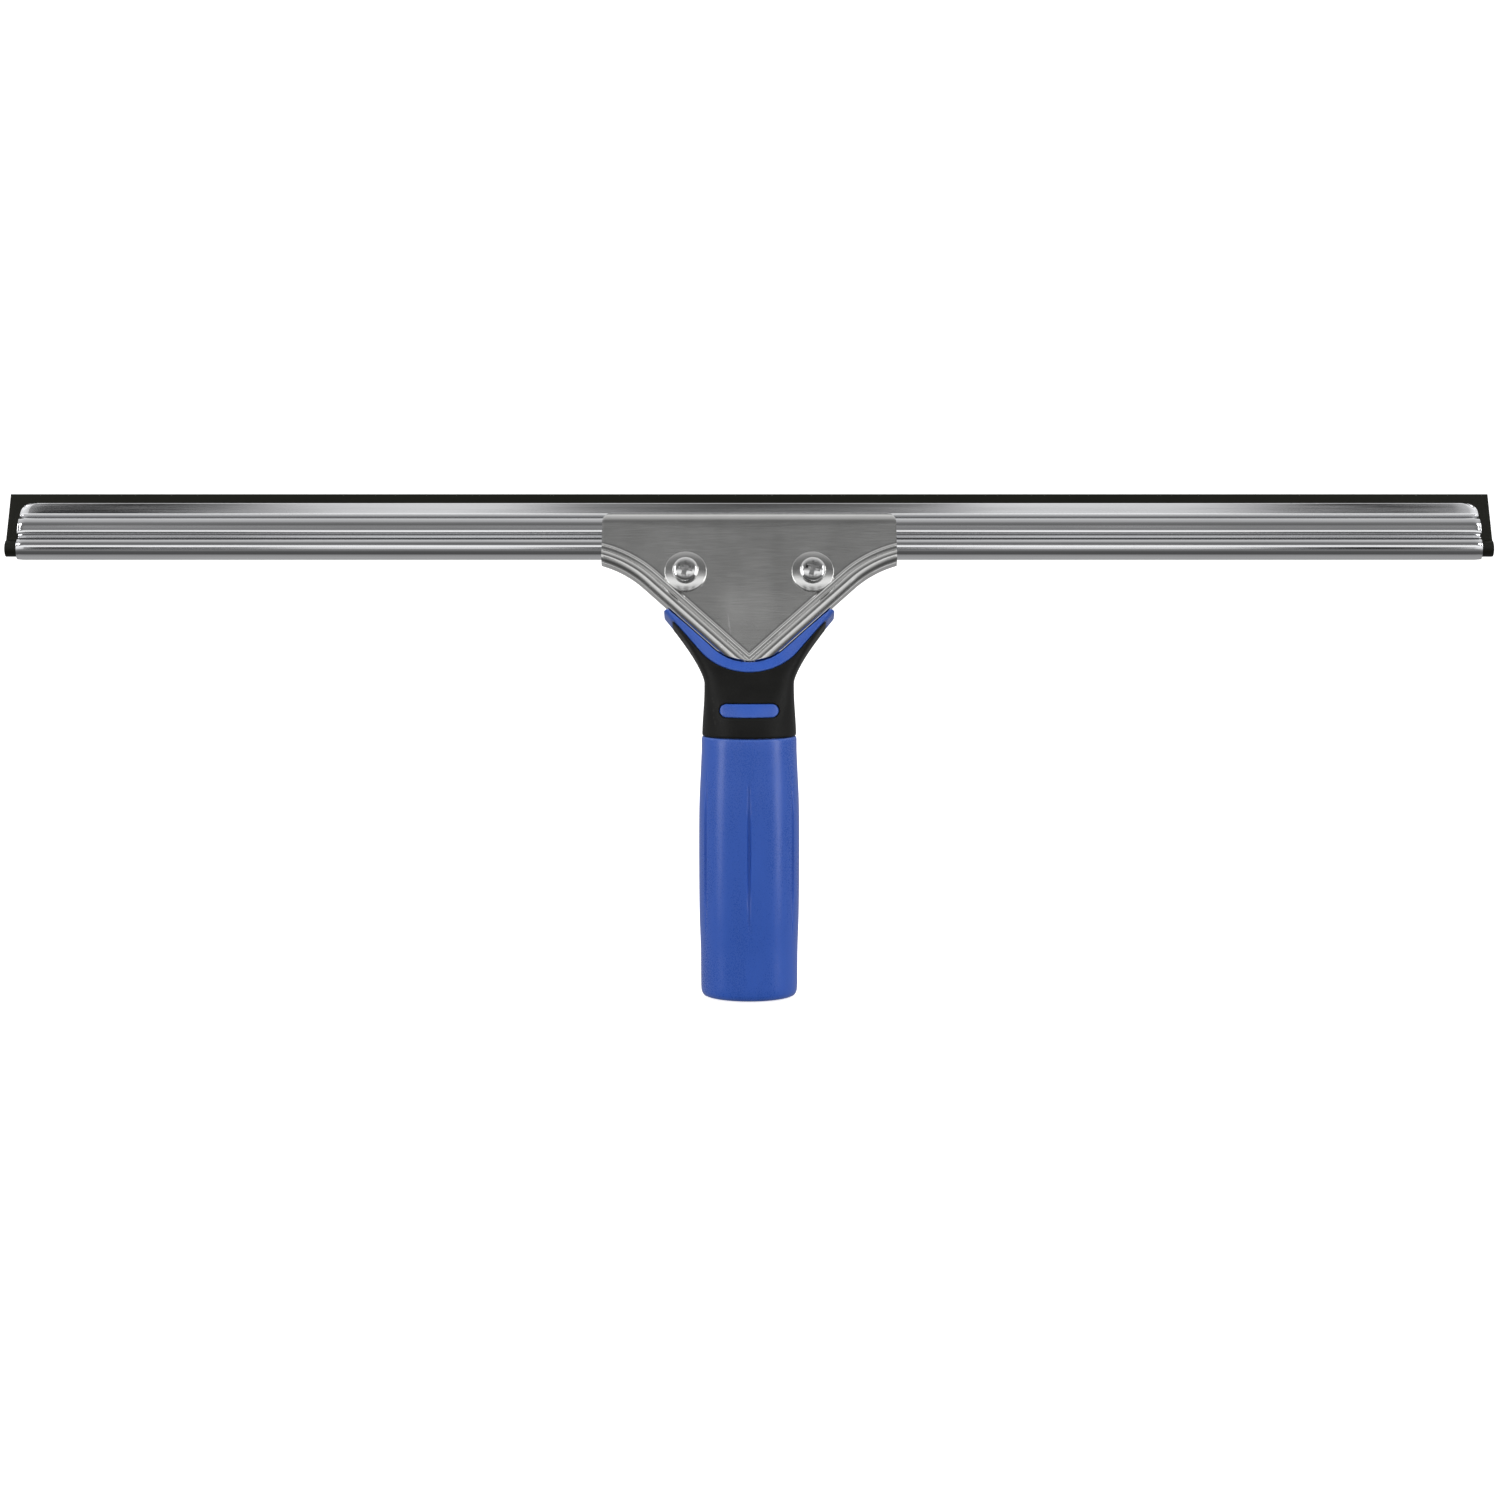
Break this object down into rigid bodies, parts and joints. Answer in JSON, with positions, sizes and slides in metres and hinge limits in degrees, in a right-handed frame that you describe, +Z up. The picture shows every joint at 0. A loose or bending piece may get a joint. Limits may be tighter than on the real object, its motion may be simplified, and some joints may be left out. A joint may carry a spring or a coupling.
{
  "type": "window squeegee",
  "caption": "Window squeegee: rubber blade in a long steel channel, clamped between two screwed jaw plates on a grip with a tapered pole socket.",
  "frame": {"origin": "centre of the pole socket's mouth, at the open end of the grip", "axes": "+Z up the grip towards the blade, X along the blade, -Y out of the front of the clamp head"},
  "size_m": [0.559, 0.0463, 0.1848],
  "materials": {
    "blade_rubber": "black rubber strip, matt",
    "polished_steel": "polished stainless steel sheet",
    "satin_steel": "satin stainless steel pressing",
    "screw_steel": "bright plated steel hardware",
    "blue_plastic": "satin blue moulded plastic",
    "black_sleeve": "black soft over-mould"
  },
  "bodies": {
    "handle": {"handle_core": "blue_plastic", "grip_sleeve": "blue_plastic", "neck_sleeve": "black_sleeve", "rear_jaw_plate": "satin_steel", "upper_tang_pin": "screw_steel", "lower_tang_pin": "screw_steel", "left_clamp_nut": "screw_steel", "right_clamp_nut": "screw_steel"},
    "front_jaw": {"front_jaw_plate": "satin_steel"},
    "channel": {"blade_channel": "polished_steel"},
    "rubber": {"squeegee_rubber": "blade_rubber"},
    "left_washers": {"left_plain_washer": "satin_steel", "left_spring_washer": "screw_steel"},
    "left_screw": {"left_clamp_screw": "screw_steel"},
    "right_washers": {"right_plain_washer": "satin_steel", "right_spring_washer": "screw_steel"},
    "right_screw": {"right_clamp_screw": "screw_steel"}
  },
  "joints": [
    {"name": "channel_shift", "type": "slide", "parent": "handle", "child": "channel", "axis": [1, 0, 0], "range_m": [-0.215, 0.215]},
    {"name": "rubber_pull", "type": "slide", "parent": "channel", "child": "rubber", "axis": [1, 0, 0], "range_m": [-0.275, 0.275]},
    {"name": "front_jaw_tilt", "type": "hinge", "parent": "handle", "child": "front_jaw", "pos_m": [0, -0.00352, 0.12343], "axis": [1, 0, 0], "range_deg": [0, 2.5]},
    {"name": "left_screw_travel", "type": "slide", "parent": "handle", "child": "left_washers", "axis": [0, -0.9272, 0.3746], "range_m": [0, 0.0032]},
    {"name": "left_screw_turn", "type": "hinge", "parent": "left_washers", "child": "left_screw", "pos_m": [-0.0237, 0.0056, 0.15695], "axis": [0, -0.9272, 0.3746], "range_deg": [0, 1440]},
    {"name": "right_screw_travel", "type": "slide", "parent": "handle", "child": "right_washers", "axis": [0, -0.9272, 0.3746], "range_m": [0, 0.0032]},
    {"name": "right_screw_turn", "type": "hinge", "parent": "right_washers", "child": "right_screw", "pos_m": [0.0237, 0.0056, 0.15695], "axis": [0, -0.9272, 0.3746], "range_deg": [0, 1440]}
  ],
  "couplings": [
    {"joint": "left_screw_turn", "follows": "left_screw_travel", "rad_per_m": 7854},
    {"joint": "right_screw_travel", "follows": "left_screw_travel", "ratio": 1},
    {"joint": "right_screw_turn", "follows": "left_screw_travel", "rad_per_m": 7854},
    {"joint": "front_jaw_tilt", "follows": "left_screw_travel", "rad_per_m": 13.635}
  ]
}
